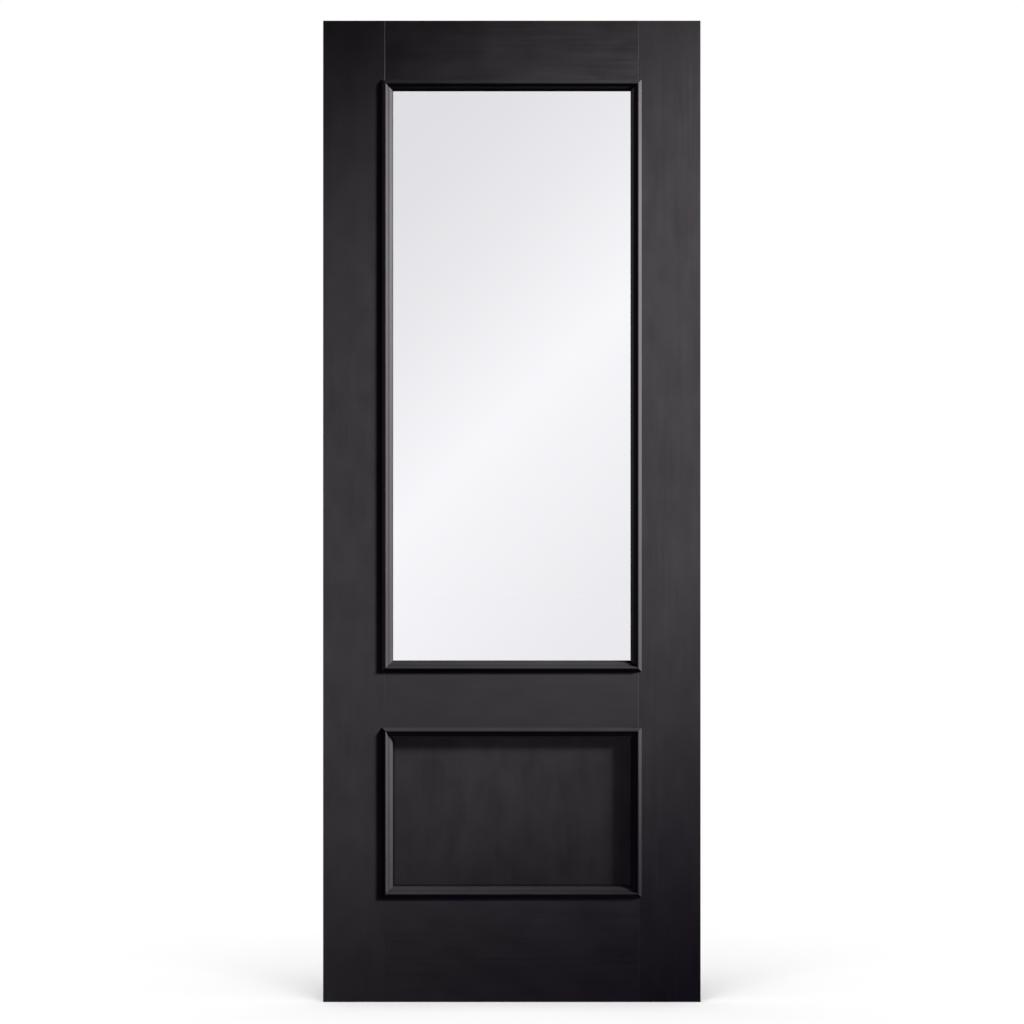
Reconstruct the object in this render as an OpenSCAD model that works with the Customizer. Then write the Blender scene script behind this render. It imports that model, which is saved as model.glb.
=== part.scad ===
// Half-glazed panel door leaf. Two stiles and three rails are dowelled together. A glass pane fills the
// tall upper opening and a flat panel the lower one. Mitred bolection mouldings, pinned to the frame on
// both faces, trap the glass and cover the edge of the panel.
// X runs across the leaf, the front faces -Y, and Z runs up from the middle of the bottom edge.

/* [Leaf] */
// Width of the leaf
leaf_w = 762; // [610:1:915]
// Height of the leaf
leaf_h = 1981; // [1800:1:2300]
// Thickness of the stiles and rails
leaf_t = 35; // [32:0.5:44]
// Radius on the long outer edges of the stiles
edge_r = 0.8; // [0.5:0.1:3]

/* [Stiles and rails] */
// Width of each stile
stile_w = 125; // [95:1:150]
// Height of the top rail
top_rail_h = 125; // [95:1:150]
// Height of the lock rail, between the glass and the panel
lock_rail_h = 125; // [95:1:200]
// Height of the bottom rail
bottom_rail_h = 217; // [150:1:260]
// Height of the lower opening
panel_opening_h = 331; // [200:1:500]
// Chamfer that eases the joint between a stile and a rail
joint_ease = 0.4; // [0.3:0.1:1.5]

/* [Mouldings] */
// How far a moulding laps over the face of the frame
moulding_lap = 6; // [5:0.5:12]
// How far a moulding stands proud of the face
moulding_proud = 6; // [4:0.5:10]
// How far a moulding reaches into the opening
moulding_sight = 16; // [12:0.5:22]
// Radius along the crest of the ridge
crest_r = 3; // [1:0.25:3.5]
// Width of the rounded slope beside the glass or the panel
slope_w = 8; // [5:0.25:8.5]
// Fall of the rounded slope
slope_h = 7; // [4:0.25:8]
// Radius to which the slope is rounded
slope_r = 14; // [10:0.5:40]
// Width of the flat between the ridge and the rounded slope
quirk_w = 0.8; // [0.4:0.1:3]
// Thickness of the outer toe, on the face of the frame
toe_h = 0.8; // [0.4:0.1:2]
// Width of the flat at the foot of the rounded slope
lip_w = 0.5; // [0.2:0.1:2]
// Open gap at the mitres, and where strips of tape meet
mitre_gap = 0.1; // [0.05:0.05:0.5]

/* [Glass] */
// Thickness of the pane
glass_t = 5; // [4:0.5:8]
// Gap between the edge of the pane and the frame
glass_gap = 3; // [2:0.5:5]
// Chamfer that takes the sharpness off the edges of the pane
glass_ease = 0.5; // [0.2:0.1:1]
// Thickness of the glazing tape
tape_t = 3; // [2:0.5:4]
// Width of the glazing tape
tape_w = 10; // [6:0.5:11]
// How far the tape stops short of the sight line
tape_recess = 1.5; // [0.5:0.5:3]
// Length of a block beside or below the pane
block_l = 50; // [25:5:100]

/* [Panel] */
// Thickness of the panel
panel_t = 9; // [8:0.5:15]
// Width of panel held in the grooves
panel_tongue = 10; // [6:0.5:15]
// Room for the panel to swell in the grooves, beyond its edges
panel_gap = 2; // [1:0.5:4]
// Slack between the panel and each side of its groove
groove_slack = 0.1; // [0.05:0.05:0.3]

/* [Dowels and pins] */
// Diameter of the dowels between rails and stiles
dowel_d = 16; // [10:1:20]
// Length of a dowel
dowel_l = 120; // [80:5:150]
// Distance of the outer dowels from the edge of a rail
dowel_edge = 34; // [25:1:42]
// Room for glue at each end of a dowel
dowel_end_gap = 1; // [0.5:0.5:3]
// Diameter of the pins that hold the mouldings
pin_d = 1.25; // [1:0.05:1.8]
// Length of a pin inside the frame
pin_grip = 21; // [15:1:25]
// Longest spacing between pins
pin_pitch = 220; // [150:5:300]
// Distance of the first pin from the end of an opening
pin_margin = 60; // [40:5:80]

/* [Hidden] */
$fn = 64;
paint = "#2d2c2e";
clear_glass = [0.86, 0.88, 0.91, 0.45];
tape_grey = "#3a3a3c";
block_black = "#1d1d1f";
beech = "#c9a878";
steel = "#9a9ca0";

// Overrun of every cut past the surface that it opens
overrun = 1;
// Slack all round a dowel or a pin in its hole
peg_slack = 0.05;
// Chamfer on the ends of a dowel
dowel_ease = 1.5;
// Length of the point of a pin
pin_point = 2;
// Distance of the crest inside the edge of the opening
crest_x = 0.8;
// Where a pin lies in the depth of a moulding, and how far it reaches across
pin_depth_share = 0.5;
pin_reach_share = 0.55;
// Places of the blocks along each edge of the pane
block_place_share = 0.25;

opening_w = leaf_w - 2 * stile_w;
panel_opening_z = bottom_rail_h;
lock_rail_z = panel_opening_z + panel_opening_h;
glass_opening_z = lock_rail_z + lock_rail_h;
top_rail_z = leaf_h - top_rail_h;
glass_opening_h = top_rail_z - glass_opening_z;
glass_w = opening_w - 2 * glass_gap;
glass_h = glass_opening_h - 2 * glass_gap;
groove_d = panel_tongue + panel_gap;
crest_v = moulding_proud - crest_r;
slope_x = moulding_sight - lip_w - slope_w;
ridge_foot = slope_x - quirk_w;

// Each opening: its name, the height of its sill, its own height and the thickness that fills it
GLASS_OPENING = ["glass", glass_opening_z, glass_opening_h, glass_t + 2 * tape_t];
PANEL_OPENING = ["panel", panel_opening_z, panel_opening_h, panel_t];
OPENINGS = [GLASS_OPENING, PANEL_OPENING];
// Each rail: the height of its lower edge, its own height and the number of dowels at each end
TOP_RAIL = [top_rail_z, top_rail_h, 2];
LOCK_RAIL = [lock_rail_z, lock_rail_h, 2];
BOTTOM_RAIL = [0, bottom_rail_h, 3];
FACES = ["front", "back"];
SIDES = ["top", "bottom", "left", "right"];

function moulding_node(opening, face, side) = str(opening[0], "_moulding_", face, "_", side);

function lies_flat(side) = side == "top" || side == "bottom";
function side_length(opening, side) = lies_flat(side) ? opening_w : opening[2];
function side_angle(side) =
    side == "bottom" ? 0 : side == "right" ? -90 : side == "top" ? 180 : 90;
function side_x(side) = side == "left" ? -opening_w / 2 : side == "right" ? opening_w / 2 : 0;
function side_z(opening, side) =
    opening[1] + (side == "bottom" ? 0 : side == "top" ? opening[2] : opening[2] / 2);
function moulding_depth(opening) = (leaf_t - opening[3]) / 2;
function pin_places(length) =
    let (run = length - 2 * pin_margin, gaps = ceil(run / pin_pitch))
    [for (i = [0 : gaps]) i * run / gaps - run / 2];
function dowel_places(rail) =
    [for (i = [0 : rail[2] - 1]) dowel_edge + i * (rail[1] - 2 * dowel_edge) / (rail[2] - 1)];

// Where a straight flank that rises from x and v runs on to the round crest without a break
function flank_end(x, v) =
    let (
        across = crest_x - x,
        up = crest_v - v,
        reach = norm([across, up]),
        rise = atan2(up, abs(across)) + asin(crest_r / reach),
        run = sqrt(reach * reach - crest_r * crest_r)
    )
    [x + sign(across) * run * cos(rise), v + run * sin(rise)];

// Middle of a circle of radius r through a point at x on the face and one that lies w further in and h lower
function slope_middle(x, w, h, r) =
    let (
        chord = norm([w, h]),
        off_share = sqrt(r * r - chord * chord / 4) / chord
    )
    [x + w / 2 - h * off_share, -h / 2 - w * off_share];

// Children drawn along X on the sill of an opening, Z into the opening, are turned to any of its sides
module at_side(opening, face, side) {
    mirror(face == "back" ? [0, 1, 0] : [0, 0, 0])
        translate([side_x(side), 0, side_z(opening, side)])
            rotate([0, side_angle(side), 0])
                children();
}

module eased_rectangle(width, height, ease) {
    x = width / 2;
    y = height / 2;
    polygon([
        [ease - x, -y], [x - ease, -y], [x, ease - y], [x, y - ease],
        [x - ease, y], [ease - x, y], [-x, y - ease], [-x, ease - y],
    ]);
}

// The waste that leaves a round edge of radius r in a corner at the origin
module corner_waste(r) {
    difference() {
        square(r);
        translate([r, r]) circle(r);
    }
}

module dowel_profile(radius, length, ease) {
    polygon([
        [0, 0], [radius - ease, 0], [radius, ease],
        [radius, length - ease], [radius - ease, length], [0, length],
    ]);
}

module at_dowels(rail) {
    for (end = [-1, 1], z = dowel_places(rail))
        translate([end * opening_w / 2, 0, rail[0] + z])
            rotate([0, 90, 0])
                children();
}

module dowels(rail) {
    color(beech)
        at_dowels(rail)
            translate([0, 0, -dowel_l / 2])
                rotate_extrude()
                    dowel_profile(dowel_d / 2, dowel_l, dowel_ease);
}

module dowel_holes(rail) {
    at_dowels(rail)
        cylinder(h = dowel_l + 2 * dowel_end_gap, d = dowel_d + 2 * peg_slack, center = true);
}

module at_pins(opening, face, side) {
    at_side(opening, face, side)
        for (x = pin_places(side_length(opening, side)))
            translate([x, moulding_depth(opening) * pin_depth_share - leaf_t / 2, -pin_grip])
                children();
}

module pins(opening) {
    length = pin_grip + moulding_sight * pin_reach_share;
    color(steel)
        for (face = FACES, side = SIDES)
            at_pins(opening, face, side)
                rotate_extrude()
                    polygon([[0, 0], [pin_d / 2, pin_point], [pin_d / 2, length], [0, length]]);
}

module pin_holes(opening, face, side) {
    length = pin_grip + moulding_sight * pin_reach_share;
    at_pins(opening, face, side)
        translate([0, 0, -peg_slack])
            cylinder(h = length + 2 * peg_slack, d = pin_d + 2 * peg_slack);
}

module panel_groove() {
    translate([0, 0, panel_opening_z + panel_opening_h / 2])
        cube(
            [opening_w + 2 * groove_d, panel_t + 2 * groove_slack, panel_opening_h + 2 * groove_d],
            center = true
        );
}

// Section of a stile from its round outer edges to its eased inner edge
module stile_section() {
    face = leaf_t / 2;
    difference() {
        polygon([
            [0, -face], [stile_w - joint_ease, -face], [stile_w, joint_ease - face],
            [stile_w, face - joint_ease], [stile_w - joint_ease, face], [0, face],
        ]);
        translate([0, -face]) corner_waste(edge_r);
        translate([0, face]) mirror([0, 1]) corner_waste(edge_r);
    }
}

module stile() {
    difference() {
        translate([-leaf_w / 2, 0, 0])
            linear_extrude(height = leaf_h)
                stile_section();
        panel_groove();
        dowel_holes(TOP_RAIL);
        dowel_holes(LOCK_RAIL);
        dowel_holes(BOTTOM_RAIL);
        for (opening = OPENINGS, face = FACES)
            pin_holes(opening, face, "left");
    }
}

module left_stile() {
    color(paint) stile();
}

module right_stile() {
    color(paint) mirror([1, 0, 0]) stile();
}

module rail_blank(rail) {
    translate([0, 0, rail[0]])
        linear_extrude(height = rail[1])
            eased_rectangle(opening_w, leaf_t, joint_ease);
}

module top_rail() {
    color(paint)
        difference() {
            rail_blank(TOP_RAIL);
            dowel_holes(TOP_RAIL);
            for (face = FACES)
                pin_holes(GLASS_OPENING, face, "top");
        }
}

module lock_rail() {
    color(paint)
        difference() {
            rail_blank(LOCK_RAIL);
            panel_groove();
            dowel_holes(LOCK_RAIL);
            for (face = FACES) {
                pin_holes(GLASS_OPENING, face, "bottom");
                pin_holes(PANEL_OPENING, face, "top");
            }
        }
}

module bottom_rail() {
    color(paint)
        difference() {
            rail_blank(BOTTOM_RAIL);
            panel_groove();
            dowel_holes(BOTTOM_RAIL);
            for (face = FACES)
                pin_holes(PANEL_OPENING, face, "bottom");
        }
}

// The pane, with all its edges eased
module glass_pane() {
    color(clear_glass)
        translate([0, 0, glass_opening_z + glass_opening_h / 2])
            intersection() {
                linear_extrude(height = glass_h, center = true)
                    eased_rectangle(glass_w, glass_t, glass_ease);
                rotate([0, 90, 0])
                    linear_extrude(height = glass_w, center = true)
                        eased_rectangle(glass_h, glass_t, glass_ease);
            }
}

// The panel rests on the bottom of its groove, with room to swell above it and at its sides
module lower_panel() {
    color(paint)
        translate([-opening_w / 2 - panel_tongue, -panel_t / 2, panel_opening_z - groove_d])
            cube([opening_w + 2 * panel_tongue, panel_t, panel_opening_h + 2 * panel_tongue]);
}

// Section of a moulding: across from the edge of the opening, and up from the face of the frame.
// A ridge caps the frame, and beyond a flat a rounded slope runs down to a lip beside the glass or panel.
module moulding_section(depth) {
    difference() {
        union() {
            translate([crest_x, crest_v]) circle(crest_r);
            polygon([
                [-moulding_lap, -toe_h], [ridge_foot, -toe_h], [ridge_foot, 0], flank_end(ridge_foot, 0),
                flank_end(-moulding_lap, toe_h), [-moulding_lap, toe_h],
            ]);
            intersection() {
                translate(slope_middle(slope_x, slope_w, slope_h, slope_r)) circle(slope_r);
                translate([slope_x, -slope_h]) square([slope_w, slope_h]);
            }
            translate([-moulding_lap, -depth]) square([moulding_lap + slope_x, depth]);
            translate([-moulding_lap, -depth]) square([moulding_lap + moulding_sight, depth - slope_h]);
        }
        translate([-moulding_lap - overrun, -depth - overrun])
            square([moulding_lap + overrun, depth + overrun]);
    }
}

// Plan of a mitred moulding, seen from the front
module mitre_plan(length) {
    outer = length / 2 + moulding_lap + overrun - mitre_gap;
    inner = length / 2 - moulding_sight - overrun - mitre_gap;
    polygon([
        [-outer, -moulding_lap - overrun], [outer, -moulding_lap - overrun],
        [inner, moulding_sight + overrun], [-inner, moulding_sight + overrun],
    ]);
}

module moulding(opening, face, side) {
    length = side_length(opening, side);
    color(paint)
        difference() {
            at_side(opening, face, side)
                intersection() {
                    translate([0, -leaf_t / 2, 0])
                        rotate(a = 180, v = [1, 0, 1])
                            linear_extrude(height = length + 2 * moulding_lap, center = true)
                                moulding_section(moulding_depth(opening));
                    rotate([90, 0, 0])
                        linear_extrude(height = 2 * leaf_t, center = true)
                            mitre_plan(length);
                }
            pin_holes(opening, face, side);
        }
}

// Four strips: the upright ones run between the level ones, parted from them by a fine gap
module glazing_tape(face) {
    inset = moulding_sight - tape_recess - tape_w;
    color(tape_grey)
        for (side = SIDES) {
            butt = lies_flat(side) ? 0 : tape_w + mitre_gap;
            length = side_length(GLASS_OPENING, side) - 2 * inset - 2 * butt;
            at_side(GLASS_OPENING, face, side)
                translate([-length / 2, -glass_t / 2 - tape_t, inset])
                    cube([length, tape_t, tape_w]);
        }
}

module pane_block(side, place) {
    at_side(GLASS_OPENING, "front", side)
        translate([place * side_length(GLASS_OPENING, side) - block_l / 2, -glass_t / 2, 0])
            cube([block_l, glass_t, glass_gap]);
}

module setting_blocks() {
    color(block_black)
        for (end = [-1, 1])
            pane_block("bottom", end * block_place_share);
}

module location_blocks() {
    color(block_black)
        for (side = ["left", "right"], end = [-1, 1])
            pane_block(side, end * block_place_share);
}

left_stile();
right_stile();
top_rail();
lock_rail();
bottom_rail();
glass_pane();
lower_panel();
for (opening = OPENINGS, face = FACES, side = SIDES)
    moulding(opening, face, side);
for (face = FACES)
    glazing_tape(face);
setting_blocks();
location_blocks();
dowels(TOP_RAIL);  // top_rail_dowels
dowels(LOCK_RAIL);  // lock_rail_dowels
dowels(BOTTOM_RAIL);  // bottom_rail_dowels
for (opening = OPENINGS)
    pins(opening);
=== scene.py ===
# %% [markdown]
# A half-glazed door leaf stands alone on a white studio floor. Its timber frame, panel, glass and
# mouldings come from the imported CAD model, already in metres and in place. Blender gives them their
# paint and glass, and the studio round them. The model could be rebuilt here by hand, but then its
# sizes would drift from the CAD, so the frame is loaded and left as it is.

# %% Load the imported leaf
import math
import random

import bmesh
import bpy
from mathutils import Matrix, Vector


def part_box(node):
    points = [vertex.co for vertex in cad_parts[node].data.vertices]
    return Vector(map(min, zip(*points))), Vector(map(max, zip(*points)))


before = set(bpy.data.objects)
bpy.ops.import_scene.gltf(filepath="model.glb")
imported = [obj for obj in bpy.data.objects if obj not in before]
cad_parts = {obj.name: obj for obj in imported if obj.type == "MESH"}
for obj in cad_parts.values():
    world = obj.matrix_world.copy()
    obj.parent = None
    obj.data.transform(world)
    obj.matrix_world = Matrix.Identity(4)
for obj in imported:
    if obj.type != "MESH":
        bpy.data.objects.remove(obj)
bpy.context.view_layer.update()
nodes = {name: bpy.data.objects[name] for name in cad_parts}

# %% [markdown]
# A finish is a small graph of shader nodes. Nodes can be placed one call at a time, but sums are
# then hard to read. Here one class wraps a socket, so that a sum written in Python adds the Math
# nodes that work it out, and one method adds any other node.


# %% A socket that can stand in a sum
class Wire:
    """An output socket of a node tree, or the bare tree where a graph starts."""

    def __init__(self, tree, socket=None):
        self.tree = tree
        self.socket = socket

    def node(self, kind, settings=None, sockets=None, out=0):
        """Adds a node: its settings first, then the values or links of its sockets."""
        made = self.tree.nodes.new(kind)
        for name, value in (settings or {}).items():
            if name == "stops":
                set_stops(made.color_ramp, value)
            else:
                setattr(made, name, value)
        for name, value in (sockets or {}).items():
            if isinstance(value, Wire):
                self.tree.links.new(value.socket, made.inputs[name])
            else:
                made.inputs[name].default_value = value
        return Wire(self.tree, made.outputs[out] if len(made.outputs) else None)

    def math(self, operation, first, second):
        return self.node("ShaderNodeMath", {"operation": operation}, {0: first, 1: second})

    def __add__(self, other):
        return self.math("ADD", self, other)

    def __radd__(self, other):
        return self.math("ADD", other, self)

    def __sub__(self, other):
        return self.math("SUBTRACT", self, other)

    def __rsub__(self, other):
        return self.math("SUBTRACT", other, self)

    def __mul__(self, other):
        return self.math("MULTIPLY", self, other)

    def __rmul__(self, other):
        return self.math("MULTIPLY", other, self)


def set_stops(ramp, stops):
    """Gives a colour ramp its stops, each a place and a grey level."""
    while len(ramp.elements) < len(stops):
        ramp.elements.new(0.5)
    for element, (place, level) in zip(ramp.elements, stops):
        element.position = place
        element.color = (level, level, level, 1)


def new_material(name):
    """An empty material, and the start of its graph."""
    material = bpy.data.materials.new(name)
    material.use_nodes = True
    material.node_tree.nodes.clear()
    return material, Wire(material.node_tree)


print("shader helper ready")

# %% [markdown]
# Wood grain runs along each bar, so every finish needs coordinates that are stretched along the
# grain. Texture space could be unwrapped onto each face, but a bar's own X, Y and Z in metres
# already say which way it runs. Each piece is cut from its own stretch of the figure, so no pattern
# runs on across a joint. The number of the cut is the seed of the shift.

# %% Coordinates and noise along the grain
AXES = {"x": 0, "y": 1, "z": 2}
SHIFT = 7.0


def place_on_piece(start, cut):
    """Object coordinates in metres, moved by the shift that belongs to a cut."""
    spot = start.node("ShaderNodeTexCoord", out="Object")
    draw = random.Random(cut)
    shift = tuple(draw.uniform(-SHIFT, SHIFT) for _ in AXES)
    return start.node("ShaderNodeVectorMath", {"operation": "ADD"}, {0: spot, 1: shift})


def stretched_noise(place, along, across_per_m, along_per_m, detail=2.0, rough=0.5):
    """Noise of so many waves a metre across the grain and along it."""
    waves = [across_per_m] * len(AXES)
    waves[AXES[along]] = along_per_m
    scaled = place.node("ShaderNodeVectorMath", {"operation": "MULTIPLY"}, {0: place, 1: tuple(waves)})
    sockets = {"Vector": scaled, "Scale": 1.0, "Detail": detail, "Roughness": rough}
    return place.node("ShaderNodeTexNoise", {"noise_dimensions": "3D"}, sockets)


def between(value, low, high):
    """A soft step from 0 at low to 1 at high."""
    sockets = {"Value": value, "From Min": low, "From Max": high, "To Min": 0.0, "To Max": 1.0}
    return value.node("ShaderNodeMapRange", {"interpolation_type": "SMOOTHSTEP"}, sockets)


def blend_colours(share, first, second):
    """A colour between two, or a little past them, by a share of the second."""
    settings = {"data_type": "RGBA", "clamp_factor": False}
    return share.node("ShaderNodeMix", settings, {0: share, 6: first, 7: second}, out=2)


print("grain axes", sorted(AXES))

# %% [markdown]
# The leaf is painted, and three kinds of painted light and shade lie on its paint. Where a rail
# meets a stile, a pale hairline is painted as a highlight on the joint, palest at the top of the
# left stile. In the corners where the panel meets the mouldings on its left and below it, shade is
# painted in, dark and without gloss. Along the round of two mouldings, to the right of the glass
# and above the panel, a pale band of painted light runs along them. A picture could be painted for
# that, but then every piece would have to be unwrapped. The marks lie at known places, so a mask
# measures how far a point is from each.

# %% Painted highlight, shade and light
JOINT_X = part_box("top_rail")[1][0]
# Painted highlight on the joints between the rails and the stiles
JOINT_HIGHLIGHT_CORE = 0.0005
JOINT_HIGHLIGHT_EDGE = 0.0011
JOINT_HIGHLIGHT_SHARE = 0.075
LEFT_HIGHLIGHT_SHARE = 0.9
LEFT_HIGHLIGHT_LOW = 0.5
LEFT_HIGHLIGHT_HIGH = 1.9
# Painted shade in the corners where the panel meets the mouldings on its left and below it
PANEL_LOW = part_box("panel_moulding_front_bottom")[1][2]
PANEL_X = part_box("panel_moulding_front_right")[0][0]
CORNER_WIDTH = 0.0065
CORNER_SHADE = 0.7
# Painted light: a pale band along two mouldings, to the right of the glass and above the panel
LIGHT_BAND_CORE = 0.0008
LIGHT_BAND_EDGE = 0.0052
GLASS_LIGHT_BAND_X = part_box("glass_moulding_front_right")[0][0] + 0.0026
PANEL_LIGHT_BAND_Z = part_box("panel_moulding_front_top")[0][2] + 0.001
# Each moulding with a band of painted light: the axis across it, the middle of the band, how strong
# the painted light is, and the heights between which it grows to that
LIGHT_BANDS = {
    "glass_moulding_front_right": ("X", GLASS_LIGHT_BAND_X, 1.0, 0.35, 1.35),
    "panel_moulding_front_top": ("Z", PANEL_LIGHT_BAND_Z, 0.35, 0.0, 0.5),
}


def part_of_place(start, axis):
    """One of the object coordinates."""
    spot = start.node("ShaderNodeTexCoord", out="Object")
    return start.node("ShaderNodeSeparateXYZ", {}, {"Vector": spot}, out=axis)


def joint_highlight_mask(start, on_left):
    """The painted highlight on the joint of rails and a stile: its strength, 0 away from it."""
    off = part_of_place(start, "X") + (JOINT_X if on_left else -JOINT_X)
    line = 1 - between(off.math("ABSOLUTE", off, 0.0), JOINT_HIGHLIGHT_CORE, JOINT_HIGHLIGHT_EDGE)
    if not on_left:
        return JOINT_HIGHLIGHT_SHARE * line
    rise = between(part_of_place(start, "Z"), LEFT_HIGHLIGHT_LOW, LEFT_HIGHLIGHT_HIGH)
    return LEFT_HIGHLIGHT_SHARE * line * rise


def corner_shade_mask(start):
    """The share of painted shade: 1 where the panel meets the mouldings on its left and below it, 0
    elsewhere.
    """
    beside = part_of_place(start, "X") + PANEL_X
    above = part_of_place(start, "Z") - PANEL_LOW
    return 1 - between(start.math("MINIMUM", beside, above), 0.0, CORNER_WIDTH)


def light_band_mask(start, axis, middle, share, low, high):
    """The strength of the band of painted light along a moulding."""
    off = part_of_place(start, axis) - middle
    band = 1 - between(off.math("ABSOLUTE", off, 0.0), LIGHT_BAND_CORE, LIGHT_BAND_EDGE)
    return share * band * between(part_of_place(start, "Z"), low, high)


# The two mouldings that carry a band of painted light
print("rubbed mouldings", sorted(LIGHT_BANDS))

# %% [markdown]
# The paint is a dull charcoal black, brushed over timber. It is nearly neutral, with soft paler and
# darker clouds, and in patches the grain still shows as fine streaks along each bar. A dark colour
# with a plain gloss would look like plastic, so noises are laid over each other: broad clouds in the
# tone, fibres a few millimetres wide that come and go, and short pores. The same fibres lift the
# surface by hundredths of a millimetre, which a raking light picks out.

# %% The charcoal paint
PAINT_DEEP = (0.0181, 0.0153, 0.0178, 1)
PAINT_PALE = (0.0411, 0.0359, 0.0406, 1)
# Pale paint for the painted highlight on the joints
PAINT_JOINT_HIGHLIGHT = (0.36, 0.34, 0.36, 1)
# Dark paint for the painted shade in the corners of the panel
PAINT_SHADE = (0.004, 0.003, 0.004, 1)
# Pale grey paint for the band of painted light along two mouldings
PAINT_LIGHT_BAND = (0.163, 0.156, 0.156, 1)
GRAIN_LIFT = 0.00006
# Waves a metre, across the grain and along it
BROAD_WAVES = (6, 3)
CLOUD_WAVES = (26, 13)
PATCH_WAVES = (15, 4)
FIBRE_WAVES = (130, 5.5)
PORE_WAVES = (900, 26)
PEEL_WAVES = (420, 420)


def charcoal_paint(name, along, streaks, cloudiness, middle, cut):
    """The paint of one piece, with the painted light and shade that lie on it."""
    material, start = new_material("charcoal_paint_" + name)
    place = place_on_piece(start, cut)
    broad = stretched_noise(place, along, *BROAD_WAVES, 1.0) - 0.5
    clouds = stretched_noise(place, along, *CLOUD_WAVES, 3.0) - 0.5
    patch = between(stretched_noise(place, along, *PATCH_WAVES, 1.0), 0.42, 0.66)
    fibres = stretched_noise(place, along, *FIBRE_WAVES, 3.0, 0.6) - 0.5
    pores = between(stretched_noise(place, along, *PORE_WAVES, 1.0), 0.62, 0.76)
    peel = stretched_noise(place, along, *PEEL_WAVES, 1.0)
    grain = (0.25 + 0.75 * patch) * fibres
    tone = middle + cloudiness * (0.5 * broad + 0.45 * clouds) + streaks * (0.8 * grain - 0.1 * pores)
    colour = blend_colours(tone, PAINT_DEEP, PAINT_PALE)
    # Painted highlight on the joints of the stiles and rails
    if name.endswith(("_stile", "_rail")):
        colour = blend_colours(joint_highlight_mask(start, name == "left_stile"), colour, PAINT_JOINT_HIGHLIGHT)
    # Painted light: a pale band along two mouldings
    if name in LIGHT_BANDS:
        colour = blend_colours(light_band_mask(start, *LIGHT_BANDS[name]), colour, PAINT_LIGHT_BAND)
    sheen = 0.63 + 0.14 * clouds - 0.10 * grain
    height = grain + 0.15 * peel - 0.5 * pores
    bump = start.node("ShaderNodeBump", {}, {"Strength": 1.0, "Distance": GRAIN_LIFT, "Height": height})
    sockets = {"Base Color": colour, "Roughness": sheen, "IOR": 1.5, "Normal": bump}
    skin = start.node("ShaderNodeBsdfPrincipled", {}, sockets)
    # Painted shade in the corners of the panel: a dark skin without gloss is mixed in there
    if name == "lower_panel":
        shade_sockets = {"Base Color": PAINT_SHADE, "Roughness": 1.0, "Specular IOR Level": 0.0}
        painted_shade = start.node("ShaderNodeBsdfPrincipled", {}, shade_sockets)
        share = CORNER_SHADE * corner_shade_mask(start)
        skin = start.node("ShaderNodeMixShader", {}, {0: share, 1: skin, 2: painted_shade})
    start.node("ShaderNodeOutputMaterial", {}, {"Surface": skin})
    return material


print("paint between", PAINT_DEEP[:3], "and", PAINT_PALE[:3])

# %% [markdown]
# Some boards have a bold figure and some are plain, so each has its own share of streaks and clouds,
# and its own tone. One finish for all would be shorter, but the leaf would look cut from a single
# sheet. The mouldings share one quiet figure, and a few of them have a tone of their own.

# %% Paint on boards and mouldings
# Each board: the way its grain runs, its shares of streaks and clouds, its middle tone and its cut
BOARDS = {
    "left_stile": ("z", 0.8, 1.7, 0.5, 6),
    "right_stile": ("z", 1.2, 1.6, 0.48, 26),
    "top_rail": ("x", 2.2, 3.1, 0.5, 51),
    "lock_rail": ("x", 0.75, 0.8, 0.53, 3),
    "bottom_rail": ("x", 1.2, 1.8, 0.48, 45),
    "lower_panel": ("z", 0.5, 1.15, -0.23, 34),
}
SIDE_GRAIN = {"top": "x", "bottom": "x", "left": "z", "right": "z"}
# The mouldings whose middle tone differs from that of the rest
MOULDING_TONES = {
    "glass_moulding_front_top": 0.30,
    "glass_moulding_front_bottom": -0.08,
    "glass_moulding_front_left": 0.20,
    "glass_moulding_front_right": 0.38,
    "panel_moulding_front_top": -0.08,
    "panel_moulding_front_bottom": 0.35,
}
MOULDING_TONE = 0.5
MOULDING_STREAKS = 0.6
MOULDING_CLOUDS = 1.0


def dress(node, material):
    """Puts one finish on a node's whole surface."""
    slots = nodes[node].data.materials
    slots.clear()
    slots.append(material)


painted = dict(BOARDS)
for name in nodes:
    if "_moulding_" in name and not name.endswith("pins"):
        axis = SIDE_GRAIN[name.rsplit("_", 1)[1]]
        tone = MOULDING_TONES.get(name, MOULDING_TONE)
        painted[name] = (axis, MOULDING_STREAKS, MOULDING_CLOUDS, tone, len(painted))
for name, finish in painted.items():
    dress(name, charcoal_paint(name, *finish))
print("painted pieces", len(painted))

# %% [markdown]
# The pane is clear float glass with a faint grey-blue tint. Glass could be faked with a see-through
# alpha, but then it would not mirror the studio, so the shader really bends and mirrors light. Float
# glass is never perfectly flat: a ripple of a few thousandths of a millimetre is kept. The pane
# casts no shadow, and the paint and the floor round it take no light from the white wall behind it.

# %% The clear glass
GLASS_TINT = (0.801, 0.801, 0.833, 1)
RIPPLE = 0.000003
RIPPLE_WAVES = (9, 4)
POLISH = 0.004
POLISH_WAVES = (30, 30)
WHOLE_CUT = 1


def clear_glass():
    """The finish of the pane."""
    material, start = new_material("clear_glass")
    place = place_on_piece(start, WHOLE_CUT)
    ripple = stretched_noise(place, "z", *RIPPLE_WAVES, 1.0)
    polish = POLISH * stretched_noise(place, "z", *POLISH_WAVES, 3.0)
    bump = start.node("ShaderNodeBump", {}, {"Strength": 1.0, "Distance": RIPPLE, "Height": ripple})
    sockets = {
        "Base Color": GLASS_TINT,
        "Roughness": polish,
        "IOR": 1.5,
        "Transmission Weight": 1.0,
        "Normal": bump,
    }
    skin = start.node("ShaderNodeBsdfPrincipled", {}, sockets)
    start.node("ShaderNodeOutputMaterial", {}, {"Surface": skin})
    return material


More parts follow.
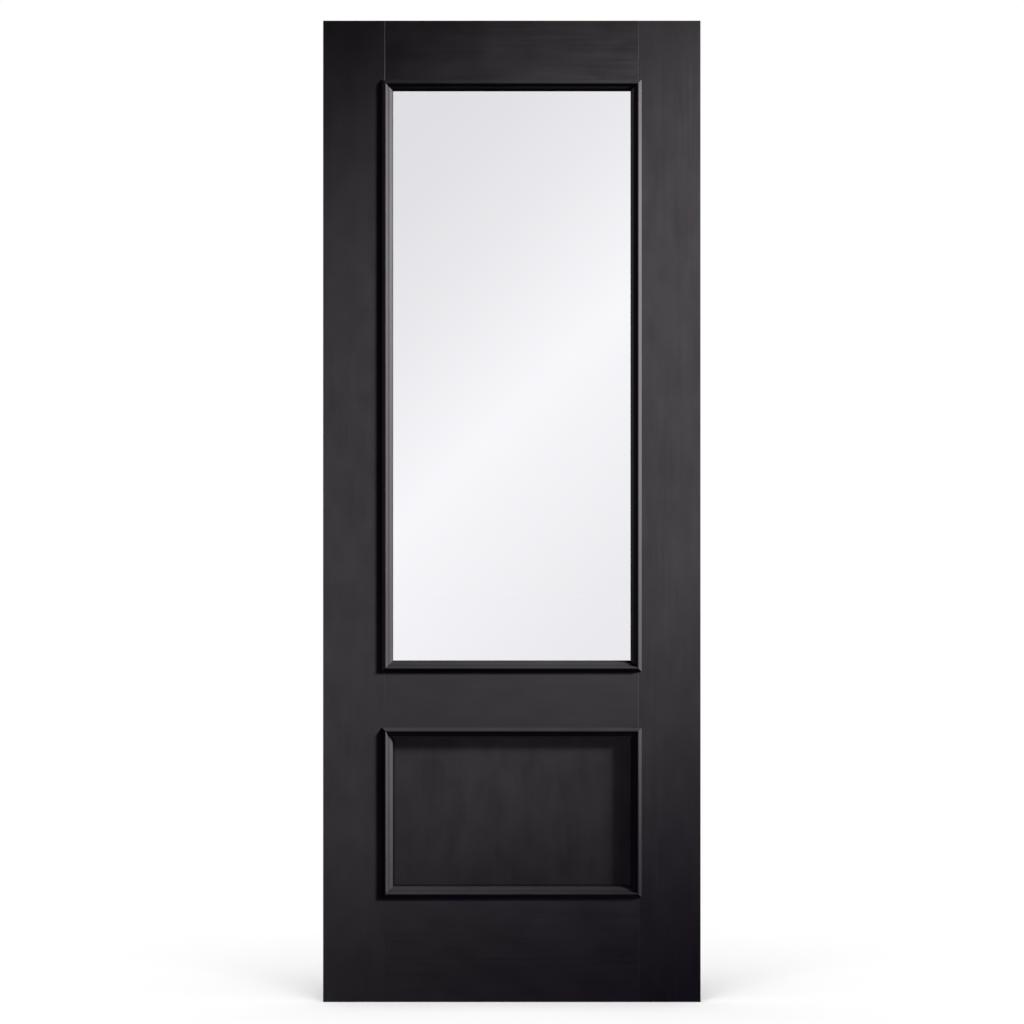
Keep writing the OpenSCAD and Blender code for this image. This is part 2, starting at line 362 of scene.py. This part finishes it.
dress("glass_pane", clear_glass())
nodes["glass_pane"].visible_shadow = False
nodes["glass_pane"].visible_glossy = False
nodes["glass_pane"].visible_diffuse = False
print("glass tint", GLASS_TINT[:3])

# %% [markdown]
# Behind the mouldings the glass lies between strips of foam tape and stands on moulded blocks. They
# hardly show, but a part that is taken to pieces shows them, so each has its own skin: fine cells in
# the foam, and a slight moulded texture on the blocks.

# %% Foam tape and glazing blocks
TAPE_DARK = (0.030, 0.030, 0.031, 1)
TAPE_PALE = (0.072, 0.072, 0.075, 1)
BLOCK_DARK = (0.016, 0.016, 0.018, 1)
BLOCK_PALE = (0.027, 0.027, 0.030, 1)
SMUDGE_WAVES = (60, 60)


def speckled(name, dark, pale, cells_per_m, rough, lift):
    """A matt skin with fine cells: darker pits in a paler face."""
    material, start = new_material(name)
    place = place_on_piece(start, WHOLE_CUT)
    cells = stretched_noise(place, "z", cells_per_m, cells_per_m, 2.0)
    clouds = stretched_noise(place, "z", *SMUDGE_WAVES, 2.0)
    colour = blend_colours(between(0.6 * cells + 0.4 * clouds, 0.3, 0.7), dark, pale)
    bump = start.node("ShaderNodeBump", {}, {"Strength": 1.0, "Distance": lift, "Height": cells})
    sockets = {"Base Color": colour, "Roughness": rough - 0.12 * clouds, "IOR": 1.45, "Normal": bump}
    skin = start.node("ShaderNodeBsdfPrincipled", {}, sockets)
    start.node("ShaderNodeOutputMaterial", {}, {"Surface": skin})
    return material


foam = speckled("glazing_tape", TAPE_DARK, TAPE_PALE, 1800, 0.95, 0.00012)
moulded = speckled("setting_block", BLOCK_DARK, BLOCK_PALE, 700, 0.62, 0.00004)
for name in ("glazing_tape_front", "glazing_tape_back"):
    dress(name, foam)
for name in ("setting_blocks", "location_blocks"):
    dress(name, moulded)
print("tape and block skins made")

# %% [markdown]
# The rails are joined to the stiles by turned beech dowels, and steel pins hold the mouldings. Both
# are inside the leaf. Beech is pale and pinkish with short dark flecks along the grain. Drawn wire
# has fine lines along its length, which make its gloss streaky.

# %% Beech dowels and steel pins
BEECH_PALE = (0.62, 0.42, 0.24, 1)
BEECH_DEEP = (0.45, 0.27, 0.14, 1)
STEEL_BRIGHT = (0.62, 0.62, 0.63, 1)
STEEL_DULL = (0.44, 0.44, 0.45, 1)
RING_WAVES = (240, 6)
FLECK_WAVES = (1100, 130)
RING_LIFT = 0.00008
WIRE_WAVES = (6000, 40)


def beech():
    """The finish of the dowels."""
    material, start = new_material("beech_dowel")
    place = place_on_piece(start, WHOLE_CUT)
    rings = stretched_noise(place, "x", *RING_WAVES, 3.0)
    flecks = between(stretched_noise(place, "x", *FLECK_WAVES, 1.0), 0.60, 0.70)
    colour = blend_colours(between(rings, 0.3, 0.7) * (1 - 0.2 * flecks), BEECH_DEEP, BEECH_PALE)
    height = rings - 0.6 * flecks
    bump = start.node("ShaderNodeBump", {}, {"Strength": 1.0, "Distance": RING_LIFT, "Height": height})
    sockets = {"Base Color": colour, "Roughness": 0.58 + 0.15 * rings, "IOR": 1.45, "Normal": bump}
    skin = start.node("ShaderNodeBsdfPrincipled", {}, sockets)
    start.node("ShaderNodeOutputMaterial", {}, {"Surface": skin})
    return material


def drawn_steel():
    """The finish of the pins."""
    material, start = new_material("pin_steel")
    place = place_on_piece(start, WHOLE_CUT)
    lines = stretched_noise(place, "y", *WIRE_WAVES, 2.0)
    colour = blend_colours(between(lines, 0.3, 0.7), STEEL_DULL, STEEL_BRIGHT)
    sockets = {"Base Color": colour, "Roughness": 0.24 + 0.18 * lines, "Metallic": 1.0}
    skin = start.node("ShaderNodeBsdfPrincipled", {}, sockets)
    start.node("ShaderNodeOutputMaterial", {}, {"Surface": skin})
    return material


wood = beech()
wire = drawn_steel()
for name in ("top_rail_dowels", "lock_rail_dowels", "bottom_rail_dowels"):
    dress(name, wood)
for name in ("glass_moulding_pins", "panel_moulding_pins"):
    dress(name, wire)
print("dowels and pins dressed")

# %% [markdown]
# The leaf stands on a white studio floor that runs out of sight, with only a soft shadow at its
# foot. A shadow could be painted on, but it would be wrong from the side, so a large plane takes the
# light of soft suns overhead instead. The paint would be washed out by so bright a floor, so the
# light of the floor does not bounce back onto the leaf.

# %% The white floor
FLOOR_HALF = 60.0
FLOOR_WHITE = 0.80


def flat_sheet(name, corners):
    """One four-sided face."""
    mesh = bpy.data.meshes.new(name)
    shape = bmesh.new()
    shape.faces.new([shape.verts.new(corner) for corner in corners])
    shape.to_mesh(mesh)
    shape.free()
    sheet = bpy.data.objects.new(name, mesh)
    bpy.context.scene.collection.objects.link(sheet)
    return sheet


def plain_skin(name, level):
    """A flat grey of one level."""
    material, start = new_material(name)
    colour = (level, level, level, 1)
    skin = start.node("ShaderNodeBsdfDiffuse", {}, {"Color": colour, "Roughness": 0.0})
    start.node("ShaderNodeOutputMaterial", {}, {"Surface": skin})
    return material


floor = flat_sheet(
    "studio_floor",
    [
        (-FLOOR_HALF, -FLOOR_HALF, 0),
        (FLOOR_HALF, -FLOOR_HALF, 0),
        (FLOOR_HALF, FLOOR_HALF, 0),
        (-FLOOR_HALF, FLOOR_HALF, 0),
    ],
)
floor.data.materials.append(plain_skin("white_floor", FLOOR_WHITE))
floor.visible_diffuse = False
floor.visible_glossy = False
print("floor half width", FLOOR_HALF)

# %% [markdown]
# Paint mirrors whatever stands round it, and a white room would turn it grey. A photographer puts up
# black flags. A dark shell round the leaf does that here. Only mirrored rays see it, so it takes no
# light away.

# %% Black flags
FLAG_RADIUS = 7.5
FLAG_LOW = -1.0
FLAG_HIGH = 6.0
FLAG_STEPS = 48
FLAG_BLACK = 0.02


def only_mirrored(thing):
    """Shows a stage piece in reflections and nowhere else."""
    thing.visible_camera = False
    thing.visible_diffuse = False
    thing.visible_transmission = False
    thing.visible_shadow = False


def flag_shell():
    """A closed drum round the leaf."""
    mesh = bpy.data.meshes.new("black_flags")
    shape = bmesh.new()
    height = FLAG_HIGH - FLAG_LOW
    bmesh.ops.create_cone(
        shape,
        cap_ends=True,
        segments=FLAG_STEPS,
        radius1=FLAG_RADIUS,
        radius2=FLAG_RADIUS,
        depth=height,
    )
    shape.to_mesh(mesh)
    shape.free()
    shell = bpy.data.objects.new("black_flags", mesh)
    shell.location.z = (FLAG_LOW + FLAG_HIGH) / 2
    bpy.context.scene.collection.objects.link(shell)
    return shell


flags = flag_shell()
flags.data.materials.append(plain_skin("black_cloth", FLAG_BLACK))
only_mirrored(flags)
print("flags reach", FLAG_RADIUS)

# %% [markdown]
# A broad diagonal gleam crosses the glass, bright along a line that rises to the right and fading
# out on both sides. It is the mirror image of a graded light. It could be painted on the pane, but
# then it would stay there in every view. A card in front of the leaf carries the gradient, and only
# mirrored rays see it.

# %% The graded card that the glass mirrors
CARD_MID = Vector((0.002, -6.0, 1.268))
CARD_HALF_WIDTH = 0.72
CARD_HALF_HEIGHT = 1.3
GLEAM_FROM = -0.876
GLEAM_TO = 0.761
GLEAM_PEAK = 2.66
# Each stop: its place along the slope, and its share of the peak
GLEAM_STOPS = (
    (0.0, 0.0),
    (0.13, 0.09),
    (0.30, 0.40),
    (0.535, 1.0),
    (0.62, 0.84),
    (0.72, 0.70),
    (0.90, 0.43),
    (1.0, 0.38),
)


def graded_light():
    """A glow that changes along a slope of 45 degrees."""
    material, start = new_material("graded_light")
    spot = start.node("ShaderNodeTexCoord", out="Object")
    slope = (math.sqrt(0.5), 0, -math.sqrt(0.5))
    dot = {"operation": "DOT_PRODUCT"}
    along = start.node("ShaderNodeVectorMath", dot, {0: spot, 1: slope}, out="Value")
    share = (along - GLEAM_FROM) * (1 / (GLEAM_TO - GLEAM_FROM))
    level = start.node("ShaderNodeValToRGB", {"stops": GLEAM_STOPS}, {"Fac": share})
    glow = start.node("ShaderNodeEmission", {}, {"Color": level, "Strength": GLEAM_PEAK})
    start.node("ShaderNodeOutputMaterial", {}, {"Surface": glow})
    return material


card = flat_sheet(
    "graded_card",
    [
        (-CARD_HALF_WIDTH, 0, -CARD_HALF_HEIGHT),
        (CARD_HALF_WIDTH, 0, -CARD_HALF_HEIGHT),
        (CARD_HALF_WIDTH, 0, CARD_HALF_HEIGHT),
        (-CARD_HALF_WIDTH, 0, CARD_HALF_HEIGHT),
    ],
)
card.location = CARD_MID
card.data.materials.append(graded_light())
only_mirrored(card)
print("card at", tuple(CARD_MID))

# %% [markdown]
# Each light has its own job, as in a studio where snoots and flags keep it off the rest. Blender's
# light linking does the same: a light is given the collection of things that it reaches.

# %% What each light reaches
scene = bpy.context.scene


def reach(name, things):
    """A collection of the things that a light falls on."""
    group = bpy.data.collections.new(name)
    for thing in things:
        group.objects.link(thing)
    return group


on_leaf = reach("lit_leaf", nodes.values())
on_back = reach("lit_back", [thing for name, thing in nodes.items() if "_front_" not in name])
on_paint = reach("lit_paint", [nodes[name] for name in painted])
# The two mouldings that carry a band of painted light
on_light_bands = reach("lit_light_bands", [nodes[name] for name in LIGHT_BANDS])
on_glass_left = reach("lit_glass_left", [nodes["glass_moulding_front_left"]])
on_panel = reach("lit_panel", [nodes["lower_panel"]])
on_glass = reach("lit_glass", [nodes["glass_pane"]])
on_floor = reach("lit_floor", [floor])
card.light_linking.receiver_collection = on_glass


def add_lamp(name, kind, place, aim, receivers, **settings):
    """A lamp at a place, turned to face a point."""
    lamp = bpy.data.lights.new(name, kind)
    for setting, value in settings.items():
        setattr(lamp, setting, value)
    thing = bpy.data.objects.new(name, lamp)
    thing.location = place
    thing.rotation_euler = (Vector(aim) - Vector(place)).to_track_quat("-Z", "Y").to_euler()
    thing.light_linking.receiver_collection = receivers
    thing.visible_camera = False
    thing.visible_transmission = False
    scene.collection.objects.link(thing)
    return thing


# %% [markdown]
# The main light stands high on the right, only a little in front of the leaf, so it rakes over the
# face: the slopes that look its way are bright, the far side of each moulding is black, and the
# grain shows. A broad light from the front would flatten all of that. It is a spot with a soft edge,
# so that the upper left and lower right corners fall away into the dark. A narrow snoot at the same
# place keeps the moulding to the left of the glass bright to its top.

# %% The raking key light
KEY_PLACE = (4.2, -1.35, 3.3)
KEY_AIM = (0.756, 0.0, 1.469)
SNOOT_AIM = (-0.25, 0.0, 1.95)
add_lamp(
    "raking_key",
    "SPOT",
    KEY_PLACE,
    KEY_AIM,
    on_leaf,
    energy=3202,
    shadow_soft_size=0.313,
    spot_size=math.radians(22.0),
    spot_blend=0.72,
)
add_lamp(
    "snoot",
    "SPOT",
    KEY_PLACE,
    SNOOT_AIM,
    on_glass_left,
    energy=1800,
    shadow_soft_size=0.3,
    spot_size=math.radians(16.0),
    spot_blend=1.0,
)
print("key distance", round((Vector(KEY_PLACE) - Vector(KEY_AIM)).length, 3))

# %% [markdown]
# The floor takes its white from a long soft light overhead that reaches further to the front than to
# the back, and the leaf throws a soft shadow in it. One broad sun would spread the shadow as far to
# the sides as to the back, so three narrower ones stand in a row.

# %% The light on the floor
AMBIENT = 0.04
SUN_ANGLE = math.radians(25.2)
# Each sun: how far it leans to the front, and its share of the light
SUN_ROW = ((-0.183, 0.24), (0.237, 0.376), (0.651, 0.384))
floor_level = math.pi * (1 / FLOOR_WHITE - AMBIENT)
for lean, share in SUN_ROW:
    energy = share * floor_level * math.hypot(1, lean)
    add_lamp("floor_sun", "SUN", (0, -lean, 1), (0, 0, 0), on_floor, energy=energy, angle=SUN_ANGLE)
print("light on the floor", round(floor_level, 3))

# %% [markdown]
# Weaker lamps finish the set. A large soft lamp behind shows the back, which the front view never
# sees. A wide fill beside the key keeps the dark corners from going black. It stands on the side of
# the key, so that the shadows of the mouldings stay deep. One in front shows the two mouldings with
# a pale band of painted light, and one on the left the far side of the ridge beside the glass. A
# small one lifts the panel, which lies deep. It is close, and hardly higher than the panel, so that
# the moulding above throws no second shadow. A cool one low on the right stands for the light that
# the floor throws back. No fill is mirrored in the paint.

# %% Back light and fills
FILL_TINT = (1.05, 0.95, 1.06)
PANEL_TINT = (0.97, 1.0, 0.94)
BOUNCE_TINT = (0.95, 0.75, 1.8)
BACK_PLACE = (-1.4, 3.0, 2.9)
add_lamp("back_light", "AREA", BACK_PLACE, (0, 0, 1.0), on_back, energy=110, shape="DISK", size=1.6)
# Each fill: its name, its place and aim, what it reaches, its watts, its width and its tint
FILLS = (
    ("side_fill", (5.0, -2.0, 3.5), (0, 0, 1.0), on_paint, 110, 1.2, FILL_TINT),
    ("front_fill", (-1.5, -6.0, 1.3), (0, 0, 1.0), on_light_bands, 42, 3.0, FILL_TINT),
    ("left_fill", (-3.0, -1.2, 1.3), (-0.25, 0, 1.2), on_glass_left, 28, 1.0, FILL_TINT),
    ("panel_fill", (0, -0.45, 0.56), (0, 0, 0.38), on_panel, 1.65, 0.2, PANEL_TINT),
    ("foot_fill", (0.45, -1.1, 0.1), (0.1, 0, 0.15), on_paint, 1.1, 0.4, BOUNCE_TINT),
)
for name, place, aim, receivers, energy, size, tint in FILLS:
    settings = {"energy": energy, "shape": "DISK", "size": size, "color": tint}
    fill = add_lamp(name, "AREA", place, aim, receivers, **settings)
    fill.visible_glossy = False

# %% [markdown]
# The world is the white of the studio wall. Camera rays, mirrored rays and rays through the glass
# see it at full white. Light that would fall from it onto the paint is kept very low and a little
# violet, because the key does the lighting, and a bright world would fill the dark side of every
# moulding.

# %% The white surround
WHITE = (1, 1, 1, 1)
SHADE_TINT = (1.1, 0.92, 1.25, 1)


def white_world():
    """A world that is white to look at and dim as a light."""
    world = bpy.data.worlds.new("white_studio")
    world.use_nodes = True
    world.node_tree.nodes.clear()
    start = Wire(world.node_tree)
    path = start.node("ShaderNodeLightPath", out="Is Camera Ray")
    rays = path.socket.node.outputs
    mirrored = Wire(world.node_tree, rays["Is Glossy Ray"])
    through = Wire(world.node_tree, rays["Is Transmission Ray"])
    share = between(path + mirrored + through, 0.0, 1.0)
    strength = AMBIENT + (1 - AMBIENT) * share
    colour = blend_colours(share, SHADE_TINT, WHITE)
    glow = start.node("ShaderNodeBackground", {}, {"Color": colour, "Strength": strength})
    start.node("ShaderNodeOutputWorld", {}, {"Surface": glow})
    return world


scene.world = white_world()
scene.view_settings.view_transform = "Standard"
print("ambient share", AMBIENT)

# %% [markdown]
# The camera stands square to the leaf at mid height, a long way off with a long lens, so the
# uprights stay parallel and the sides of the mouldings hardly show.

# %% The camera
SENSOR_MM = 36
LENS_MM = 209.0
CAMERA_PLACE = (0.00034, -12.0175, 0.9892)
lens = bpy.data.cameras.new("studio_camera")
lens.sensor_width = SENSOR_MM
lens.lens = LENS_MM
camera = bpy.data.objects.new("studio_camera", lens)
camera.location = CAMERA_PLACE
camera.rotation_euler = (math.radians(90), 0, 0)
scene.collection.objects.link(camera)
scene.camera = camera
print("lens", lens.lens)
